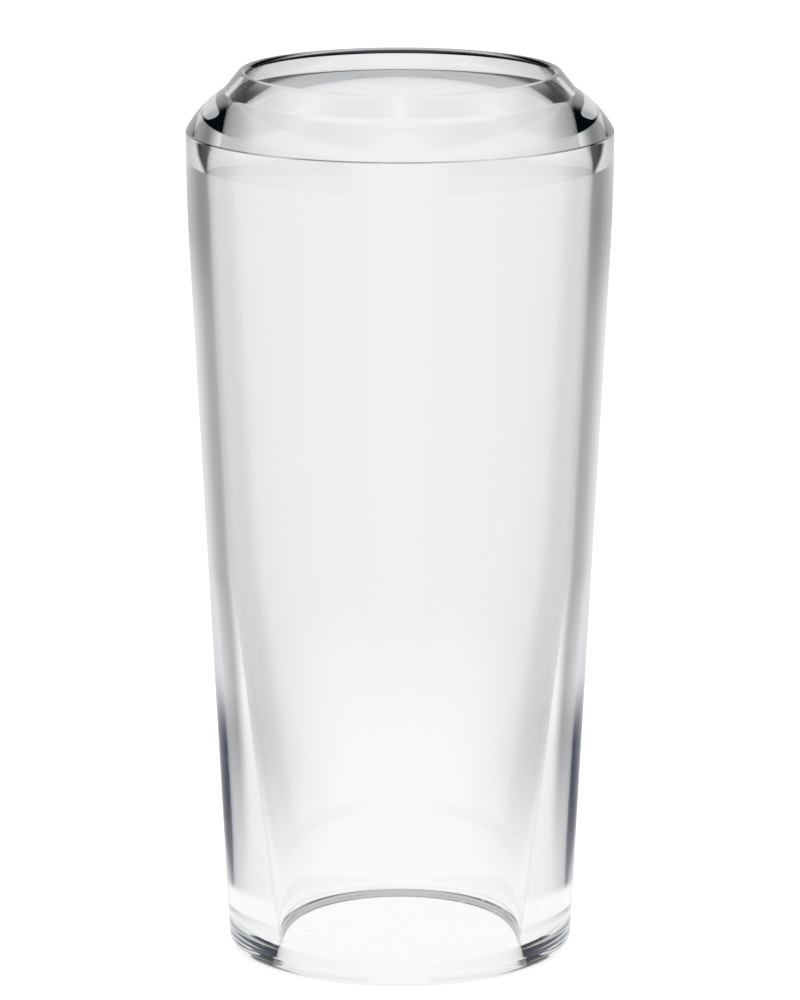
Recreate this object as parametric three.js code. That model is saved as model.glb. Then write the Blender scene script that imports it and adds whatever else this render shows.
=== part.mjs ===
/**
 * Glass guitar slide, worn on a finger and drawn along the strings.
 *
 * One moulded piece of clear glass: a tapered, thin-walled barrel, open at both ends.
 * The narrow end is the tip, which stands on the floor plane. The wide end turns inwards
 * over a bevelled shoulder to the mouth, whose rim is rounded by fire polishing.
 *
 * Units are millimetres, +Z is up along the axis, and the origin is the middle of the
 * tip's end face. Depends on three only.
 */
import * as THREE from 'three';

// Outside of the barrel: a straight cone that eases to upright under the shoulder.
const SHOULDER_HEIGHT = 54.9;
const SHOULDER_RADIUS = 14.0;
const BARREL_TAPER = 0.0525;
const EASING_LENGTH = 8.0;

// Shoulder edge, and the slightly bulging bevel that rises from it towards the mouth.
const SHOULDER_EDGE_ROUND = 0.15;
const BEVEL_TOP_RADIUS = 11.53;
const BEVEL_TOP_HEIGHT = 57.5;
const BEVEL_BULGE = 0.23;

// Rounded rim of the mouth. Its crown is the slide's highest point.
const RIM_CROWN_RADIUS = 10.35;
const RIM_CROWN_HEIGHT = 58.8;
const RIM_ROUND = 0.35;
const RIM_OUTER_ANGLE = 50;

// Neck: the short cone inside the mouth that flares outwards below the rim.
const NECK_LENGTH = 1.2;
const NECK_FLARE = 1.05;

// Inner shoulder: a squarish dome that joins the neck to the full bore.
const INNER_SHOULDER_BOTTOM = 51.2;
const INNER_SHOULDER_CENTRE_RADIUS = 9.2;
const INNER_SHOULDER_SQUARENESS = 2.6;

// Wall thickness: even under the shoulder, then heavier towards the tip.
const WALL_THIN = 1.4;
const WALL_AT_TIP = 3.18;
const THICKENING_HEIGHT = 26.0;
const THICKENING_POWER = 1.25;

// Rounded edges on both sides of the tip's flat end face.
const TIP_OUTER_ROUND = 0.95;
const TIP_INNER_ROUND = 0.55;

// Fineness of the turned surface.
const TURNS = 64;
const BARREL_STEPS = 7;
const BEVEL_STEPS = 3;
const RIM_STEPS = 6;
const INNER_SHOULDER_STEPS = 10;
const BORE_STEPS = 10;
const EDGE_STEPS = 3;

const QUARTER_TURN = Math.PI / 2;

/** Radius of the barrel's outside at a height. */
function barrelRadius( height ) {

	const belowShoulder = SHOULDER_HEIGHT - height;
	const eased = Math.min( belowShoulder, EASING_LENGTH );
	const easedDrop = BARREL_TAPER * eased * eased / ( 2 * EASING_LENGTH );
	const straightDrop = BARREL_TAPER * ( belowShoulder - eased );
	return SHOULDER_RADIUS - easedDrop - straightDrop;

}

/** Wall thickness at a height. */
function wallThickness( height ) {

	const nearTip = Math.max( 0, 1 - height / THICKENING_HEIGHT );
	return WALL_THIN + ( WALL_AT_TIP - WALL_THIN ) * nearTip ** THICKENING_POWER;

}

/** Radius of the finger bore at a height below the inner shoulder. */
function boreRadius( height ) {

	return barrelRadius( height ) - wallThickness( height );

}

/** Points along a circular arc from one angle to another, both ends included. */
function arcPoints( centreX, centreY, radius, fromAngle, toAngle, steps ) {

	const arc = new THREE.EllipseCurve( centreX, centreY, radius, radius, fromAngle, toAngle );
	return arc.getPoints( steps );

}

/** Points of a wall between two heights, with its radius given as a function of height. */
function wallPoints( radiusAt, fromHeight, toHeight, steps ) {

	const points = [];
	for ( let i = 0; i <= steps; i ++ ) {

		const height = THREE.MathUtils.lerp( fromHeight, toHeight, i / steps );
		points.push( new THREE.Vector2( radiusAt( height ), height ) );

	}

	return points;

}

/** Outside from the tip's end face up to just under the shoulder. */
function barrelOutline() {

	const round = TIP_OUTER_ROUND;
	const centreX = barrelRadius( round ) - round;
	const edge = arcPoints( centreX, round, round, - QUARTER_TURN, 0, EDGE_STEPS );
	const top = SHOULDER_HEIGHT - SHOULDER_EDGE_ROUND;
	const wall = wallPoints( barrelRadius, TIP_OUTER_ROUND, top, BARREL_STEPS );
	return [ ...edge, ...wall.slice( 1 ) ];

}

/** Rounded shoulder edge and the bevel above it, which bulges a little between its ends. */
function bevelOutline() {

	const centreX = SHOULDER_RADIUS - SHOULDER_EDGE_ROUND;
	const centreY = SHOULDER_HEIGHT - SHOULDER_EDGE_ROUND;
	const top = new THREE.Vector2( BEVEL_TOP_RADIUS, BEVEL_TOP_HEIGHT );
	const normalAngle = Math.atan2( centreX - top.x, top.y - centreY );
	const edge = arcPoints( centreX, centreY, SHOULDER_EDGE_ROUND, 0, normalAngle, EDGE_STEPS );

	const start = edge[ edge.length - 1 ];
	const outwards = new THREE.Vector2( top.y - start.y, start.x - top.x ).normalize();
	const middle = start.clone().add( top ).multiplyScalar( 0.5 );
	const control = middle.addScaledVector( outwards, 2 * BEVEL_BULGE );
	const bevel = new THREE.QuadraticBezierCurve( start, control, top ).getPoints( BEVEL_STEPS );
	return [ ...edge.slice( 1 ), ...bevel.slice( 1 ) ];

}

/** Rounded rim of the mouth, from its outer side over the crown to its inner side. */
function rimOutline() {

	const centreY = RIM_CROWN_HEIGHT - RIM_ROUND;
	const outerAngle = THREE.MathUtils.degToRad( RIM_OUTER_ANGLE );
	return arcPoints( RIM_CROWN_RADIUS, centreY, RIM_ROUND, outerAngle, Math.PI, RIM_STEPS );

}

/** Inner shoulder: a superellipse from the foot of the flared neck down to the full bore. */
function innerShoulderOutline() {

	const neckRadius = RIM_CROWN_RADIUS - RIM_ROUND + NECK_FLARE;
	const neckFoot = RIM_CROWN_HEIGHT - RIM_ROUND - NECK_LENGTH;
	const halfWidth = boreRadius( INNER_SHOULDER_BOTTOM ) - INNER_SHOULDER_CENTRE_RADIUS;
	const across = ( neckRadius - INNER_SHOULDER_CENTRE_RADIUS ) / halfWidth;
	const up = ( 1 - across ** INNER_SHOULDER_SQUARENESS ) ** ( 1 / INNER_SHOULDER_SQUARENESS );
	const domeHeight = ( neckFoot - INNER_SHOULDER_BOTTOM ) / up;
	const power = 2 / INNER_SHOULDER_SQUARENESS;
	const topAngle = Math.acos( across ** ( 1 / power ) );

	const points = [];
	for ( let i = 0; i <= INNER_SHOULDER_STEPS; i ++ ) {

		const angle = topAngle * ( 1 - i / INNER_SHOULDER_STEPS );
		const radius = INNER_SHOULDER_CENTRE_RADIUS + halfWidth * Math.cos( angle ) ** power;
		const height = INNER_SHOULDER_BOTTOM + domeHeight * Math.sin( angle ) ** power;
		points.push( new THREE.Vector2( radius, height ) );

	}

	return points;

}

/** Bore from the inner shoulder down to the rounded inner edge of the tip. */
function boreOutline() {

	const wall = wallPoints( boreRadius, INNER_SHOULDER_BOTTOM, TIP_INNER_ROUND, BORE_STEPS );
	const round = TIP_INNER_ROUND;
	const centreX = boreRadius( round ) + round;
	const edge = arcPoints( centreX, round, round, Math.PI, 3 * QUARTER_TURN, EDGE_STEPS );
	return [ ...wall.slice( 1, - 1 ), ...edge ];

}

/** The slide's glass: its whole outline turned about the axis. */
function makeGlassSlide() {

	const outline = [
		...barrelOutline(),
		...bevelOutline(),
		...rimOutline(),
		...innerShoulderOutline(),
		...boreOutline(),
	];
	outline.push( outline[ 0 ].clone() );

	const geometry = new THREE.LatheGeometry( outline, TURNS );
	geometry.rotateX( QUARTER_TURN );

	const glass = new THREE.MeshStandardMaterial( {
		color: 0xe9f1f0,
		roughness: 0.03,
		metalness: 0.0,
		transparent: true,
		opacity: 0.35,
	} );

	const mesh = new THREE.Mesh( geometry, glass );
	mesh.name = 'glass_slide';
	return mesh;

}

const guitarSlide = new THREE.Group();
guitarSlide.add( makeGlassSlide() );

export default guitarSlide;
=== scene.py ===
"""Look of a clear glass guitar slide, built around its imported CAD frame.

The slide is one piece of glass. Its smooth mesh is turned from an outline, replaces the faceted
CAD node and gets a glass finish with ripple, seeds, handling film and fine scratches. A pale
floor, a white tent and a few dark flags beside it light the glass. All lengths are in metres.
"""
import logging
import math
from dataclasses import dataclass, field
from enum import Enum

import bmesh
import bpy
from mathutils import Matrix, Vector


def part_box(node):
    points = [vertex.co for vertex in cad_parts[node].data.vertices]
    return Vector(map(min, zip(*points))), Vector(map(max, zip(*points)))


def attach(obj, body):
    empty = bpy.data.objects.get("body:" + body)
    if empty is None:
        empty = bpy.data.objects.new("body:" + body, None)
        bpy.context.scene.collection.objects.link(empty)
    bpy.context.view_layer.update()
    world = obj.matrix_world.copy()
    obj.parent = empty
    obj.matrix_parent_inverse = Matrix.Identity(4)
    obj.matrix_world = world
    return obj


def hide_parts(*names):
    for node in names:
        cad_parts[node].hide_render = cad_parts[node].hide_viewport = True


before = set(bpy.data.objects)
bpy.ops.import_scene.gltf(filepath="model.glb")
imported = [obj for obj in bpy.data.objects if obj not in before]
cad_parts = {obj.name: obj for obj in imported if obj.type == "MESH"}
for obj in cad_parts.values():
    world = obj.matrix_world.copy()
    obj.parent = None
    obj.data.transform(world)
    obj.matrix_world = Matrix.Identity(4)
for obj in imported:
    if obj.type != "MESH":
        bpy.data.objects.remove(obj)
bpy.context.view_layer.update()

LOG = logging.getLogger("glass_slide")
MM = 0.001
QUARTER_TURN = math.pi / 2
SCRATCH_STRETCH = (1.0, 1.0, 9.0)
SCRATCH_DETAIL = 3.0
BREAK_SCALE = 420.0
FILM_DETAIL = 4.0
FILM_SOFTNESS = 0.2
Point = tuple[float, float]
Span = tuple[float, float]
Colour = tuple[float, float, float]
Stretch = tuple[float, float, float]


class Tone(Enum):
    """How bright each part of the set looks to the glass."""

    BLACK = 0.0
    DARK = 0.12
    GREY = 0.28
    OPEN = 0.88
    BACKDROP = 0.96
    WHITE = 1.0
    BRIGHT = 1.25


# ---------------------------------------------------------------- shader helpers


class NodeSheet:
    """A node tree with short calls that add nodes and link them."""

    def __init__(self, tree: bpy.types.NodeTree) -> None:
        """Holds the tree that the calls work on.

        Args:
            tree: A material's, a world's or a group's node tree.
        """
        self.tree = tree

    def add(self, kind: str, **settings: object) -> bpy.types.Node:
        """Adds a node.

        Args:
            kind: The node's type, without its leading ShaderNode.
            **settings: Properties of the node, such as operation.

        Returns:
            The new node.
        """
        node = self.tree.nodes.new(f"ShaderNode{kind}")
        for name, value in settings.items():
            setattr(node, name, value)
        return node

    def feed(self, socket: bpy.types.NodeSocket, source: object) -> None:
        """Links a socket to another node's output, or sets it to a plain value.

        Args:
            socket: The input.
            source: An output socket, or a value.
        """
        if isinstance(source, bpy.types.NodeSocket):
            self.tree.links.new(source, socket)
        else:
            socket.default_value = source

    def maths(self, operation: str, *values: object) -> bpy.types.NodeSocket:
        """A Math node's result.

        Args:
            operation: The node's operation.
            *values: Its inputs, each an output socket or a number.

        Returns:
            The output socket.
        """
        node = self.add("Math", operation=operation)
        for socket, value in zip(node.inputs, values):
            self.feed(socket, value)
        return node.outputs[0]

    def band(self, value: object, low: float, high: float, start: float = 0.0,
             end: float = 1.0) -> bpy.types.NodeSocket:
        """A smooth step of a value.

        Args:
            value: The value, an output socket.
            low: Where the step begins.
            high: Where it ends.
            start: The result at and below low.
            end: The result at and above high.

        Returns:
            The output socket.
        """
        node = self.add("MapRange", interpolation_type="SMOOTHSTEP")
        for socket, source in zip(node.inputs, (value, low, high, start, end)):
            self.feed(socket, source)
        return node.outputs[0]

    def noise(self, vector: object, scale: float, detail: float = 2.0,
              roughness: float = 0.5) -> bpy.types.NodeSocket:
        """A noise texture's value.

        Args:
            vector: Where it is read, an output socket.
            scale: Its scale, per metre.
            detail: Its detail.
            roughness: How strong the detail is.

        Returns:
            The output socket.
        """
        node = self.add("TexNoise")
        self.feed(node.inputs["Vector"], vector)
        node.inputs["Scale"].default_value = scale
        node.inputs["Detail"].default_value = detail
        node.inputs["Roughness"].default_value = roughness
        return node.outputs[0]

    def stretched(self, vector: object, scale: Stretch) -> bpy.types.NodeSocket:
        """A place scaled along each axis.

        Args:
            vector: The place, an output socket.
            scale: The scale along X, Y and Z.

        Returns:
            The output socket.
        """
        node = self.add("Mapping")
        self.feed(node.inputs["Vector"], vector)
        node.inputs["Scale"].default_value = scale
        return node.outputs[0]

    def blend(self, mask: object, off: object, on: object) -> bpy.types.NodeSocket:
        """A value that goes from off to on as a mask goes from 0 to 1.

        Args:
            mask: The mask, an output socket.
            off: The value where the mask is 0.
            on: The value where it is 1.

        Returns:
            The output socket.
        """
        node = self.add("Mix", data_type="FLOAT")
        for socket, source in zip((node.inputs[0], node.inputs[2], node.inputs[3]), (mask, off, on)):
            self.feed(socket, source)
        return node.outputs[0]

    def parts(self, vector: object) -> bpy.types.NodeOutputs:
        """The X, Y and Z of a place or a direction."""
        node = self.add("SeparateXYZ")
        self.feed(node.inputs[0], vector)
        return node.outputs

    def turned_away(self, parts: bpy.types.NodeOutputs, aside: float = 0.0) -> bpy.types.NodeSocket:
        """How many degrees a place or direction lies to either side of straight behind.

        Args:
            parts: Its X, Y and Z, each an output socket.
            aside: How far to the side the turn's centre lies.

        Returns:
            The output socket.
        """
        across = self.maths("SUBTRACT", self.maths("ABSOLUTE", parts[0]), aside)
        return self.maths("DEGREES", self.maths("ARCTAN2", across, parts[1]))


class EffectGroup:
    """A shader node group with named inputs and outputs, built once and placed where it is used."""

    def __init__(self, name: str, inputs: dict[str, float], outputs: tuple[str, ...]) -> None:
        """Makes the group's tree and its sockets.

        Args:
            name: The group's name.
            inputs: Each number the group takes, and its usual value.
            outputs: The names of the values it gives.
        """
        self.tree = bpy.data.node_groups.new(name, "ShaderNodeTree")
        face = self.tree.interface
        face.new_socket("Place", in_out="INPUT", socket_type="NodeSocketVector")
        for label, usual in inputs.items():
            face.new_socket(label, in_out="INPUT", socket_type="NodeSocketFloat").default_value = usual
        for label in outputs:
            face.new_socket(label, in_out="OUTPUT", socket_type="NodeSocketFloat")
        self.sheet = NodeSheet(self.tree)
        self.given = self.tree.nodes.new("NodeGroupInput").outputs
        self.result = self.tree.nodes.new("NodeGroupOutput").inputs

    def place(self, sheet: NodeSheet, place: object, **values: float) -> bpy.types.NodeOutputs:
        """Puts the group in a material.

        Args:
            sheet: The material's sheet.
            place: The output socket that says where on the piece it is read.
            **values: Its inputs' values, with _ for a space.

        Returns:
            The group node's outputs.
        """
        node = sheet.tree.nodes.new("ShaderNodeGroup")
        node.node_tree = self.tree
        sheet.feed(node.inputs["Place"], place)
        for label, value in values.items():
            node.inputs[label.replace("_", " ")].default_value = value
        return node.outputs


def ripple_group() -> EffectGroup:
    """The slow waviness that moulding leaves in glass.

    Returns:
        The group. Height is the surface's height, from 0 to 1.
    """
    group = EffectGroup("MouldRipple", {"Scale": 90.0, "Draw": 0.35}, ("Height",))
    sheet = group.sheet
    drawn = sheet.add("VectorMath", operation="MULTIPLY")
    stretch = sheet.add("CombineXYZ")
    sheet.feed(stretch.inputs[0], 1.0)
    sheet.feed(stretch.inputs[1], 1.0)
    sheet.feed(stretch.inputs[2], group.given["Draw"])
    sheet.feed(drawn.inputs[0], group.given["Place"])
    sheet.feed(drawn.inputs[1], stretch.outputs[0])
    noise = sheet.add("TexNoise")
    sheet.feed(noise.inputs["Vector"], drawn.outputs[0])
    sheet.feed(noise.inputs["Scale"], group.given["Scale"])
    noise.inputs["Detail"].default_value = 1.0
    sheet.feed(group.result["Height"], noise.outputs[0])
    return group


def speck_group() -> EffectGroup:
    """Seeds and dust: a few tiny round spots, each somewhere in its own cell.

    Returns:
        The group. Mask is 1 in a spot and 0 elsewhere.
    """
    group = EffectGroup("Specks", {"Scale": 260.0, "Size": 0.05, "Share": 0.08}, ("Mask",))
    sheet = group.sheet
    cells = sheet.add("TexVoronoi", feature="F1")
    sheet.feed(cells.inputs["Vector"], group.given["Place"])
    sheet.feed(cells.inputs["Scale"], group.given["Scale"])
    near = sheet.maths("LESS_THAN", cells.outputs["Distance"], group.given["Size"])
    chance = sheet.add("SeparateColor")
    sheet.feed(chance.inputs[0], cells.outputs["Color"])
    chosen = sheet.maths("LESS_THAN", chance.outputs[0], group.given["Share"])
    sheet.feed(group.result["Mask"], sheet.maths("MULTIPLY", near, chosen))
    return group


def scratch_group() -> EffectGroup:
    """Fine scratches that run along and round the slide, as strings leave them.

    Returns:
        The group. Mask is 1 in a scratch and 0 elsewhere.
    """
    group = EffectGroup("StringScratches", {"Scale": 60.0, "Width": 0.012, "Share": 0.5}, ("Mask",))
    sheet = group.sheet
    wave = sheet.add("TexNoise")
    sheet.feed(wave.inputs["Vector"], sheet.stretched(group.given["Place"], SCRATCH_STRETCH))
    sheet.feed(wave.inputs["Scale"], group.given["Scale"])
    wave.inputs["Detail"].default_value = SCRATCH_DETAIL
    line = sheet.maths("ABSOLUTE", sheet.maths("SUBTRACT", wave.outputs[0], 0.5))
    thin = sheet.maths("LESS_THAN", line, group.given["Width"])
    breaks = sheet.noise(group.given["Place"], BREAK_SCALE, 1.0)
    kept = sheet.maths("LESS_THAN", breaks, group.given["Share"])
    sheet.feed(group.result["Mask"], sheet.maths("MULTIPLY", thin, kept))
    return group


def film_group() -> EffectGroup:
    """The uneven film that fingers leave on a polished surface.

    Returns:
        The group. Mask goes smoothly from 0, clean, to 1, smeared.
    """
    group = EffectGroup("HandlingFilm", {"Scale": 75.0, "Cover": 0.55}, ("Mask",))
    sheet = group.sheet
    noise = sheet.add("TexNoise")
    sheet.feed(noise.inputs["Vector"], group.given["Place"])
    sheet.feed(noise.inputs["Scale"], group.given["Scale"])
    noise.inputs["Detail"].default_value = FILM_DETAIL
    patch = sheet.add("MapRange", interpolation_type="SMOOTHSTEP")
    sheet.feed(patch.inputs["Value"], noise.outputs[0])
    sheet.feed(patch.inputs["From Min"], group.given["Cover"])
    sheet.feed(patch.inputs["From Max"], sheet.maths("ADD", group.given["Cover"], FILM_SOFTNESS))
    sheet.feed(group.result["Mask"], patch.outputs[0])
    return group


# ---------------------------------------------------------------- finishes


@dataclass(frozen=True)
class Effects:
    """The shader groups that the finishes share."""

    ripple: EffectGroup = field(default_factory=ripple_group)
    specks: EffectGroup = field(default_factory=speck_group)
    scratches: EffectGroup = field(default_factory=scratch_group)
    film: EffectGroup = field(default_factory=film_group)


@dataclass(frozen=True)
class ClearGlass:
    """Fire-polished clear glass with a faint cool tint in its thick parts."""

    bend: float = 1.52
    tint: Colour = (0.70, 0.80, 0.86)
    tint_density: float = 6.0
    polish: float = 0.0
    film_roughness: float = 0.02
    scratch_roughness: float = 0.1
    scratch_fade: Span = (12 * MM, 30 * MM)
    ripple_depth: float = 0.00002
    scratch_depth: float = 0.0000012
    clear: Colour = (1.0, 1.0, 1.0)
    seed_colour: Colour = (0.14, 0.16, 0.17)
    # Painted light and shade: the glowing tones that light ends in after more than two glossy bounces
    # inside the wall, and the bands that say where each tone goes.
    trapped_depth: float = 2.5
    painted_grey_shade: Colour = (0.50, 0.51, 0.52)
    painted_pale_light: Colour = (0.90, 0.91, 0.93)
    painted_dark_shade: Colour = (0.002, 0.004, 0.005)
    painted_navy_shade: Colour = (0.018, 0.028, 0.07)
    trapped_side: Span = (4 * MM, 7 * MM)
    navy_shade_band: Span = (11 * MM, 17 * MM)
    thin_band: Span = (41 * MM, 49 * MM)
    long_stretch: Span = (2.5 * MM, 4 * MM)
    shoulder_band: Span = (50 * MM, 52 * MM)
    foot_band: Span = (0.2 * MM, 0.8 * MM)
    seam_height: float = 54.9 * MM
    seam_width: float = 0.07 * MM
    seam_patches: float = 110.0
    seam_fade: Span = (0.3, 0.55)

    def make(self, effects: Effects) -> bpy.types.Material:
        """Makes the material.

        Args:
            effects: The shared shader groups.

        Returns:
            The glass.
        """
        material = bpy.data.materials.new("clear_glass")
        material.use_nodes = True
        sheet = NodeSheet(material.node_tree)
        glass = material.node_tree.nodes["Principled BSDF"]
        glass.inputs["Metallic"].default_value = 0.0
        glass.inputs["Transmission Weight"].default_value = 1.0
        glass.inputs["IOR"].default_value = self.bend
        place = sheet.add("TexCoord").outputs["Object"]

        seeds = effects.specks.place(sheet, place, Scale=300.0, Size=0.045, Share=0.05)["Mask"]
        film = effects.film.place(sheet, place, Scale=70.0, Cover=0.56)["Mask"]
        scratches = self.worn_scratches(sheet, effects, place)
        marks = sheet.maths("MAXIMUM", seeds, self.seam(sheet, place))
        sheet.feed(glass.inputs["Base Color"], self.tint_mix(sheet, marks, self.clear, self.seed_colour))

        hazy = sheet.maths("MULTIPLY_ADD", film, self.film_roughness, self.polish)
        rough = sheet.maths("MULTIPLY_ADD", scratches, self.scratch_roughness, hazy)
        sheet.feed(glass.inputs["Roughness"], rough)

        ripple = effects.ripple.place(sheet, place, Scale=85.0, Draw=0.35)["Height"]
        wavy = sheet.add("Bump")
        wavy.inputs["Strength"].default_value = 1.0
        wavy.inputs["Distance"].default_value = self.ripple_depth
        sheet.feed(wavy.inputs["Height"], ripple)
        cut = sheet.add("Bump", invert=True)
        cut.inputs["Strength"].default_value = 1.0
        cut.inputs["Distance"].default_value = self.scratch_depth
        sheet.feed(cut.inputs["Height"], scratches)
        sheet.feed(cut.inputs["Normal"], wavy.outputs[0])
        sheet.feed(glass.inputs["Normal"], cut.outputs[0])

        body = sheet.add("VolumeAbsorption")
        body.inputs["Color"].default_value = (*self.tint, 1.0)
        body.inputs["Density"].default_value = self.tint_density
        output = material.node_tree.nodes["Material Output"]
        sheet.feed(output.inputs["Volume"], body.outputs[0])
        sheet.feed(output.inputs["Surface"], self.paint_trapped_light(sheet, glass, place))
        return material

    def paint_trapped_light(self, sheet: NodeSheet, glass: bpy.types.Node, place: object) -> object:
        """Paints the tone that light which keeps going round inside the wall ends in.

        After more than two glossy bounces the glass glows with a set tone, painted light and shade.
        It is painted dark in the shoulder. Lower down it is painted grey in the middle. At the sides it
        is painted dark where it runs straight down the wall, painted pale in the rest of the thin wall
        and painted blue-black shade in the thick wall. At the foot it is painted clear white.

        Args:
            sheet: The material's sheet.
            glass: The glass shader.
            place: The output socket of the Object coordinates.

        Returns:
            The output socket of the surface.
        """
        # Masks that say where each painted tone of light and shade goes.
        parts = sheet.parts(place)
        low = sheet.band(parts[2], *self.navy_shade_band, 1.0, 0.0)
        path = sheet.add("LightPath").outputs
        pale = sheet.maths("MULTIPLY", sheet.band(parts[2], *self.thin_band, 1.0, 0.0),
                           sheet.band(path["Ray Length"], *self.long_stretch, 1.0, 0.0))
        dark = self.tint_mix(sheet, pale, self.painted_dark_shade, self.painted_pale_light)
        dark = self.tint_mix(sheet, low, dark, self.painted_navy_shade)
        side = sheet.band(sheet.maths("ABSOLUTE", parts[0]), *self.trapped_side)
        side = sheet.maths("MAXIMUM", side, sheet.band(parts[2], *self.shoulder_band))
        tone = self.tint_mix(sheet, side, self.painted_grey_shade, dark)
        tone = self.tint_mix(sheet, sheet.band(parts[2], *self.foot_band), self.clear, tone)
        # The painted glow: set tones of light and shade in place of what light trapped in the wall would
        # show.
        trapped = sheet.add("Emission")
        sheet.feed(trapped.inputs["Color"], tone)
        choice = sheet.add("MixShader")
        sheet.feed(choice.inputs[0], sheet.maths("GREATER_THAN", path["Glossy Depth"], self.trapped_depth))
        sheet.feed(choice.inputs[1], glass.outputs[0])
        sheet.feed(choice.inputs[2], trapped.outputs[0])
        return choice.outputs[0]

    def tint_mix(self, sheet: NodeSheet, mask: object, off: object, on: object) -> object:
        """A colour that goes from off to on with a mask; each is a colour or an output socket."""
        node = sheet.add("Mix", data_type="RGBA")
        for socket, source in zip((node.inputs[0], node.inputs[6], node.inputs[7]), (mask, off, on)):
            sheet.feed(socket, (*source, 1.0) if isinstance(source, tuple) else source)
        return node.outputs[2]

    def seam(self, sheet: NodeSheet, place: object) -> object:
        """The hairline that the mould's parting leaves round the shoulder's edge, darker in places.

        Args:
            sheet: The material's sheet.
            place: The output socket of the Object coordinates.

        Returns:
            The output socket of its mask.
        """
        off = sheet.maths("ABSOLUTE", sheet.maths("SUBTRACT", sheet.parts(place)[2], self.seam_height))
        line = sheet.band(off, 0.5 * self.seam_width, self.seam_width, 1.0, 0.0)
        line = sheet.maths("MULTIPLY", line, sheet.add("LightPath").outputs["Is Camera Ray"])
        patches = sheet.noise(place, self.seam_patches)
        return sheet.maths("MULTIPLY", line, sheet.band(patches, *self.seam_fade))

    def worn_scratches(self, sheet: NodeSheet, effects: Effects, place: object) -> object:
        """Scratches that are kept to the lower barrel, where the strings run.

        Args:
            sheet: The material's sheet.
            effects: The shared shader groups.
            place: The output socket of the Object coordinates.

        Returns:
            The output socket of their mask.
        """
        lines = effects.scratches.place(sheet, place, Scale=55.0, Width=0.004, Share=0.4)["Mask"]
        low = sheet.band(sheet.parts(place)[2], *self.scratch_fade, 1.0, 0.0)
        return sheet.maths("MULTIPLY", lines, low)


@dataclass(frozen=True)
class PaleFloor:
    """White card, evenly white to the camera.

    To the glass it shows painted light: a painted pool of light, brightest under the slide, and painted
    grey shade behind the slide to either side.
    """

    colour: Colour = (0.86, 0.865, 0.87)
    darker: Colour = (0.83, 0.835, 0.84)
    mottle_scale: float = 40.0
    mottle_detail: float = 3.0
    roughness: float = 0.75
    glow: float = 0.66
    # Painted pool of light and painted grey shade, seen only by the glass.
    pool_reach: Span = (30 * MM, 85 * MM)
    painted_shade_aside: float = 4 * MM
    painted_shade_start: Span = (0.0, 44.0)
    painted_shade_end: Span = (42.0, 60.0)
    painted_shade_reach: Span = (10 * MM, 45 * MM)

    def make(self) -> bpy.types.Material:
        """Makes the material.

        Returns:
            The floor's finish.
        """
        material = bpy.data.materials.new("pale_floor")
        material.use_nodes = True
        sheet = NodeSheet(material.node_tree)
        card = material.node_tree.nodes["Principled BSDF"]
        place = sheet.add("TexCoord").outputs["Object"]
        mottle = sheet.add("Mix", data_type="RGBA")
        sheet.feed(mottle.inputs[0], sheet.noise(place, self.mottle_scale, self.mottle_detail))
        mottle.inputs[6].default_value = (*self.colour, 1.0)
        mottle.inputs[7].default_value = (*self.darker, 1.0)
        sheet.feed(card.inputs["Base Color"], mottle.outputs[2])
        card.inputs["Roughness"].default_value = self.roughness
        card.inputs["Emission Color"].default_value = (1.0, 1.0, 1.0, 1.0)
        card.inputs["Emission Strength"].default_value = self.glow
        to_glass = sheet.add("Emission")
        sheet.feed(to_glass.inputs["Strength"], self.tone_to_glass(sheet, place))
        choice = sheet.add("MixShader")
        sheet.feed(choice.inputs[0], sheet.add("LightPath").outputs["Is Camera Ray"])
        sheet.feed(choice.inputs[1], to_glass.outputs[0])
        sheet.feed(choice.inputs[2], card.outputs[0])
        sheet.feed(material.node_tree.nodes["Material Output"].inputs["Surface"], choice.outputs[0])
        return material

    def tone_to_glass(self, sheet: NodeSheet, place: object) -> object:
        """How bright the floor looks to the glass at a place.

        Args:
            sheet: The material's sheet.
            place: The output socket of the Object coordinates.

        Returns:
            The output socket of the brightness.
        """
        parts = sheet.parts(place)
        length = sheet.add("VectorMath", operation="LENGTH")
        sheet.feed(length.inputs[0], place)
        reach = length.outputs["Value"]
        # Painted pool of light: the floor looks brighter to the glass near the slide.
        pool = sheet.band(reach, *self.pool_reach, 1.0, 0.0)
        tone = sheet.blend(pool, Tone.OPEN.value, Tone.BACKDROP.value)
        # Painted grey shade behind the slide to either side; this card is only a painted patch on the
        # floor.
        aside = sheet.turned_away(parts, self.painted_shade_aside)
        card = sheet.maths("MULTIPLY", sheet.band(aside, *self.painted_shade_start),
                           sheet.band(aside, *self.painted_shade_end, 1.0, 0.0))
        card = sheet.maths("MULTIPLY", card, sheet.band(reach, *self.painted_shade_reach))
        return sheet.blend(card, tone, Tone.GREY.value)


# ---------------------------------------------------------------- modelling helpers


def deselect_all() -> None:
    """Leaves edit mode's or the scene's selection empty."""
    if bpy.context.mode == "EDIT_MESH":
        bpy.ops.mesh.select_all(action="DESELECT")
    else:
        bpy.ops.object.select_all(action="DESELECT")


def arc(centre: Point, radius: float, start: float, end: float, steps: int) -> list[Point]:
    """Points along a circular arc, both ends included.

    Args:
        centre: The arc's centre.
        radius: Its radius.
        start: The angle of its first point.
        end: The angle of its last point.
        steps: How many stretches it is cut into.

    Returns:
        The points.
    """
    angles = [start + (end - start) * i / steps for i in range(steps + 1)]
    return [(centre[0] + radius * math.cos(a), centre[1] + radius * math.sin(a)) for a in angles]


def steps_between(start: float, end: float, count: int) -> list[float]:
    """Evenly spaced numbers after start, up to and including end."""
    return [start + (end - start) * (i + 1) / count for i in range(count)]


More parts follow.
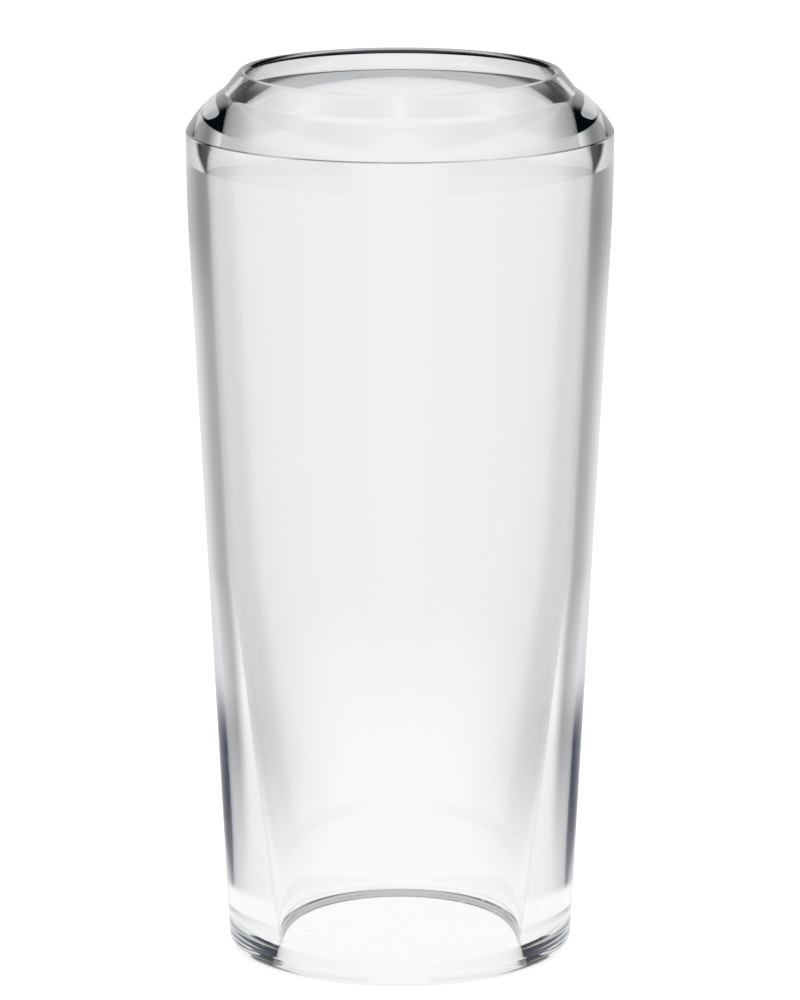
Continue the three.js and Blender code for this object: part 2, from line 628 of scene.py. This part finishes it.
def pick_rings(piece: bpy.types.Object, height: float, radius: float, reach: float) -> int:
    """Selects the edges of the rings round the axis that lie at a place on the outline.

    Args:
        piece: The turned piece, in edit mode.
        height: The ring's height.
        radius: The ring's radius.
        reach: How far off a ring may be.

    Returns:
        How many edges were selected.
    """
    deselect_all()
    bpy.ops.object.mode_set(mode="OBJECT")
    for vertex in piece.data.vertices:
        off_radius = math.hypot(vertex.co.x, vertex.co.y) - radius
        vertex.select = abs(vertex.co.z - height) < reach and abs(off_radius) < reach
    bpy.ops.object.mode_set(mode="EDIT")
    bpy.ops.mesh.select_mode(type="EDGE")
    piece.update_from_editmode()
    return sum(edge.select for edge in piece.data.edges)


def face_outwards(piece: bpy.types.Object) -> None:
    """Turns a closed piece's faces over if they enclose less than nothing.

    Args:
        piece: The piece, in edit mode.
    """
    shape = bmesh.from_edit_mesh(piece.data)
    if shape.calc_volume(signed=True) < 0:
        bpy.ops.mesh.select_all(action="SELECT")
        bpy.ops.mesh.flip_normals()


# ---------------------------------------------------------------- the slide


@dataclass
class GlassSlide:
    """The slide: a tapered, thin-walled glass tube with a bevelled shoulder and a rounded mouth."""

    node: str = "glass_slide"
    body: str = "root"
    slot: str = "clear_glass"
    shoulder_height: float = 54.9 * MM
    taper: float = 0.0525
    easing_length: float = 8.0 * MM
    shoulder_round: float = 0.08 * MM
    bevel_top: Point = (11.53 * MM, 57.5 * MM)
    bevel_bulge: float = 0.23 * MM
    crown_radius: float = 10.35 * MM
    rim_round: float = 0.35 * MM
    rim_outer_angle: float = math.radians(50)
    neck_height: float = 1.2 * MM
    neck_flare: float = 1.05 * MM
    dome_bottom: float = 51.2 * MM
    dome_centre_radius: float = 9.2 * MM
    dome_squareness: float = 2.6
    wall_thin: float = 1.4 * MM
    wall_at_tip: float = 3.18 * MM
    thickening_height: float = 26.0 * MM
    thickening_power: float = 1.25
    tip_outer_round: float = 0.95 * MM
    tip_inner_round: float = 0.55 * MM
    crease: float = math.radians(30)
    outer_edge_steps: int = 10
    barrel_steps: int = 8
    bevel_steps: int = 12
    rim_steps: int = 14
    dome_steps: int = 30
    upper_bore_steps: int = 3
    lower_bore_steps: int = 20
    inner_edge_steps: int = 8
    shoulder_segments: int = 5
    turns: int = 640
    weld: float = 0.002 * MM
    ring_reach: float = 0.01 * MM

    def __post_init__(self) -> None:
        """Takes the slide's overall size from its CAD node."""
        low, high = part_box(self.node)
        self.crown_height = high.z
        self.shoulder_radius = (high.x - low.x) / 2

    def barrel_radius(self, height: float) -> float:
        """Radius of the barrel's outside at a height."""
        below = self.shoulder_height - height
        eased = min(below, self.easing_length)
        eased_drop = self.taper * eased * eased / (2 * self.easing_length)
        return self.shoulder_radius - eased_drop - self.taper * (below - eased)

    def bore_radius(self, height: float) -> float:
        """Radius of the finger bore at a height below the inner shoulder."""
        near_tip = max(0.0, 1 - height / self.thickening_height)
        wall = self.wall_thin + (self.wall_at_tip - self.wall_thin) * near_tip ** self.thickening_power
        return self.barrel_radius(height) - wall

    def barrel(self) -> list[Point]:
        """Outside from the tip's end face up to the shoulder's edge."""
        edge = self.tip_outer_round
        centre = (self.barrel_radius(edge) - edge, edge)
        easing_start = self.shoulder_height - self.easing_length
        heights = steps_between(edge, easing_start, self.barrel_steps)
        heights += steps_between(easing_start, self.shoulder_height, self.barrel_steps)
        wall = [(self.barrel_radius(z), z) for z in heights]
        return arc(centre, edge, -QUARTER_TURN, 0.0, self.outer_edge_steps) + wall

    def bevel(self) -> list[Point]:
        """The slightly bulging bevel above the shoulder's edge."""
        start = Vector((self.shoulder_radius, self.shoulder_height))
        top = Vector(self.bevel_top)
        along = top - start
        outwards = Vector((along.y, -along.x)).normalized()
        points = []
        for t in steps_between(0.0, 1.0, self.bevel_steps):
            lift = 4 * t * (1 - t) * self.bevel_bulge
            points.append(tuple(start + along * t + outwards * lift))
        return points

    def rim(self) -> list[Point]:
        """The fire-polished rim, from its outer side over the crown to its inner side."""
        centre = (self.crown_radius, self.crown_height - self.rim_round)
        return arc(centre, self.rim_round, self.rim_outer_angle, math.pi, self.rim_steps)

    def inner_shoulder(self) -> list[Point]:
        """The flared neck and the rounded dome that widen the hollow from the rim to the full bore.

        Returns:
            The points, from the neck's foot down to the bore.
        """
        neck = self.crown_radius - self.rim_round + self.neck_flare
        neck_foot = self.crown_height - self.rim_round - self.neck_height
        bore = self.bore_radius(self.dome_bottom)
        half_width = bore - self.dome_centre_radius
        across = (neck - self.dome_centre_radius) / half_width
        power = 2 / self.dome_squareness
        dome_height = (neck_foot - self.dome_bottom) / (1 - across ** self.dome_squareness) ** (power / 2)
        top = math.acos(across ** (1 / power))
        points = []
        for turn in [top] + steps_between(top, 0.0, self.dome_steps):
            radius = self.dome_centre_radius + half_width * math.cos(turn) ** power
            height = self.dome_bottom + dome_height * math.sin(turn) ** power
            points.append((radius, height))
        return points

    def bore(self) -> list[Point]:
        """The bore from the inner shoulder down to the rounded inner edge of the tip."""
        edge = self.tip_inner_round
        easing_start = self.shoulder_height - self.easing_length
        centre = (self.bore_radius(edge) + edge, edge)
        heights = steps_between(self.dome_bottom, easing_start, self.upper_bore_steps)
        heights.append(self.thickening_height)
        heights += steps_between(self.thickening_height, edge, self.lower_bore_steps)
        wall = [(self.bore_radius(z), z) for z in heights]
        return wall + arc(centre, edge, math.pi, 3 * QUARTER_TURN, self.inner_edge_steps)[1:]

    def turn(self) -> bpy.types.Object:
        """Draws the outline by extruding one point and turns it about the axis.

        Returns:
            The turned piece, in edit mode.
        """
        outline = self.barrel() + self.bevel() + self.rim() + self.inner_shoulder() + self.bore()
        start = outline[0]
        deselect_all()
        bpy.ops.mesh.primitive_plane_add(size=MM, location=(0.0, 0.0, 0.0))
        piece = bpy.context.active_object
        bpy.ops.object.mode_set(mode="EDIT")
        bpy.ops.mesh.select_mode(type="VERT")
        bpy.ops.mesh.merge(type="CENTER")
        bpy.ops.transform.translate(value=(start[0], 0.0, start[1]))
        for here, there in zip(outline, outline[1:] + [start]):
            step = (there[0] - here[0], 0.0, there[1] - here[1])
            bpy.ops.mesh.extrude_region_move(TRANSFORM_OT_translate={"value": step})
        bpy.ops.mesh.select_all(action="SELECT")
        bpy.ops.mesh.remove_doubles(threshold=self.weld)
        bpy.ops.object.mode_set(mode="OBJECT")
        lathe = piece.modifiers.new("lathe", "SCREW")
        lathe.axis = "Z"
        lathe.angle = math.tau
        lathe.steps = lathe.render_steps = self.turns
        lathe.use_merge_vertices = True
        lathe.merge_threshold = self.weld
        bpy.ops.object.modifier_apply(modifier=lathe.name)
        bpy.ops.object.mode_set(mode="EDIT")
        bpy.ops.mesh.select_all(action="SELECT")
        bpy.ops.mesh.remove_doubles(threshold=self.weld)
        face_outwards(piece)
        return piece

    def soften_shoulder(self, piece: bpy.types.Object) -> None:
        """Rounds the shoulder's edge with a bevel.

        Args:
            piece: The turned piece, in edit mode.
        """
        found = pick_rings(piece, self.shoulder_height, self.shoulder_radius, self.ring_reach)
        LOG.info("shoulder edge: %d edges rounded", found)
        bpy.ops.mesh.bevel(offset=self.shoulder_round, offset_type="OFFSET",
                           segments=self.shoulder_segments, profile=0.5)

    def build(self, glass: bpy.types.Material) -> bpy.types.Object:
        """Models the slide, gives it its finish and puts it in the place of the CAD node.

        Args:
            glass: The slide's finish.

        Returns:
            The finished piece.
        """
        piece = self.turn()
        self.soften_shoulder(piece)
        bpy.ops.object.mode_set(mode="OBJECT")
        piece.name = "slide_glass"
        bpy.ops.object.transform_apply(location=True, rotation=True, scale=True)
        bpy.ops.object.shade_smooth_by_angle(angle=self.crease)
        piece.data.materials.append(glass)
        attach(piece, self.body)
        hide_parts(self.node)
        return piece


# ---------------------------------------------------------------- the studio


@dataclass
class Studio:
    """Pale floor, and a tent of soft light round it that has dark flags to either side."""

    floor_reach: float = 3.0
    floor_gap: float = 0.02 * MM
    horizon_rise: Span = (0.0, 4.0)
    backdrop_turn: Span = (50.0, 64.0)
    lamp_start: Span = (26.0, 40.0)
    lamp_end: Span = (52.0, 66.0)
    front_turn: Span = (140.0, 165.0)
    flag_start: Span = (36.0, 44.0)
    flag_end: Span = (62.0, 76.0)
    flag_top: Span = (48.0, 62.0)
    flag_lean: float = 1.5
    flag_lean_top: float = 10.0

    def lay_floor(self) -> bpy.types.Object:
        """Lays the floor just under the slide's tip.

        Returns:
            The floor.
        """
        deselect_all()
        bpy.ops.mesh.primitive_circle_add(vertices=96, radius=self.floor_reach, fill_type="NGON",
                                          location=(0.0, 0.0, -self.floor_gap))
        floor = bpy.context.active_object
        bpy.ops.object.mode_set(mode="EDIT")
        bpy.ops.mesh.inset(thickness=self.floor_reach / 2)
        bpy.ops.object.mode_set(mode="OBJECT")
        bpy.ops.object.transform_apply(location=True, rotation=True, scale=True)
        floor.name = "studio_floor"
        floor.data.materials.append(PaleFloor().make())
        return floor

    def hang_tent(self) -> None:
        """Surrounds the set with the tent, plain white where the camera sees it."""
        world = bpy.data.worlds.new("white_tent")
        bpy.context.scene.world = world
        world.use_nodes = True
        sheet = NodeSheet(world.node_tree)
        seen = sheet.add("LightPath").outputs["Is Camera Ray"]
        light = world.node_tree.nodes["Background"]
        light.inputs["Color"].default_value = (1.0, 1.0, 1.0, 1.0)
        strength = sheet.blend(seen, self.tent_light(sheet), Tone.WHITE.value)
        sheet.feed(light.inputs["Strength"], strength)

    def tent_light(self, sheet: NodeSheet) -> object:
        """How bright the tent is in each direction.

        A bright backdrop stands behind, with the dark sides of the room beyond it and a black flag
        at either end of it, which narrows downwards. High lamps hang over the sides, and the
        front is as bright as the backdrop.

        Args:
            sheet: The world's sheet.

        Returns:
            The output socket of the strength.
        """
        parts = sheet.parts(sheet.add("TexCoord").outputs["Generated"])
        turn = sheet.turned_away(parts)
        rise = sheet.maths("DEGREES", sheet.maths("ARCSINE", parts[2]))
        backdrop = sheet.blend(sheet.band(rise, *self.horizon_rise), Tone.OPEN.value, Tone.BACKDROP.value)
        sides = sheet.blend(sheet.band(rise, *self.lamp_start), Tone.DARK.value, Tone.BRIGHT.value)
        sides = sheet.blend(sheet.band(rise, *self.lamp_end), sides, Tone.DARK.value)
        sides = sheet.blend(sheet.band(turn, *self.front_turn), sides, Tone.BACKDROP.value)
        tent = sheet.blend(sheet.band(turn, *self.backdrop_turn, 1.0, 0.0), sides, backdrop)
        low_rise = sheet.maths("MINIMUM", rise, self.flag_lean_top)
        leaning = sheet.maths("MULTIPLY_ADD", low_rise, self.flag_lean, turn)
        flag = sheet.maths("MULTIPLY", sheet.band(leaning, *self.flag_start),
                           sheet.band(turn, *self.flag_end, 1.0, 0.0))
        flag = sheet.maths("MULTIPLY", flag, sheet.band(rise, *self.flag_top, 1.0, 0.0))
        return sheet.blend(flag, tent, Tone.BLACK.value)

    def keep_whites(self) -> None:
        """Shows white as white, with no film-like roll-off."""
        bpy.context.scene.view_settings.view_transform = "Standard"


@dataclass
class StudioCamera:
    """A long lens that looks a little down on the slide, with its uprights near parallel."""

    distance: float = 0.45
    rise_over_shoulder: float = math.radians(8.8)
    aim_height: float = 28.9 * MM
    shoulder_height: float = 54.9 * MM
    shoulder_radius: float = 14.0 * MM
    shoulder_in_frame: float = 0.429
    frame_shift: float = 0.0187
    sensor: float = 36.0
    near_limit: float = 0.01

    def place(self) -> bpy.types.Object:
        """Puts the camera up and makes it the scene's.

        Returns:
            The camera.
        """
        rise = self.distance * math.sin(self.rise_over_shoulder)
        back = self.distance * math.cos(self.rise_over_shoulder)
        height = self.shoulder_height + rise
        tilt = math.atan2(height - self.aim_height, back)
        depth = back * math.cos(tilt) + rise * math.sin(tilt)
        deselect_all()
        bpy.ops.object.camera_add(location=(0.0, -back, height), rotation=(QUARTER_TURN - tilt, 0.0, 0.0))
        camera = bpy.context.active_object
        camera.name = "studio_camera"
        camera.data.sensor_width = self.sensor
        camera.data.lens = self.sensor * self.shoulder_in_frame * depth / (2 * self.shoulder_radius)
        camera.data.shift_y = self.frame_shift
        camera.data.clip_start = self.near_limit
        bpy.context.scene.camera = camera
        return camera


def main() -> None:
    logging.basicConfig(level=logging.INFO, format="%(message)s")
    effects = Effects()
    slide = GlassSlide().build(ClearGlass().make(effects))
    LOG.info("%s: %d faces", slide.name, len(slide.data.polygons))
    studio = Studio()
    LOG.info("%s laid", studio.lay_floor().name)
    studio.hang_tent()
    studio.keep_whites()
    LOG.info("%s placed", StudioCamera().place().name)


if __name__ == "__main__":
    main()
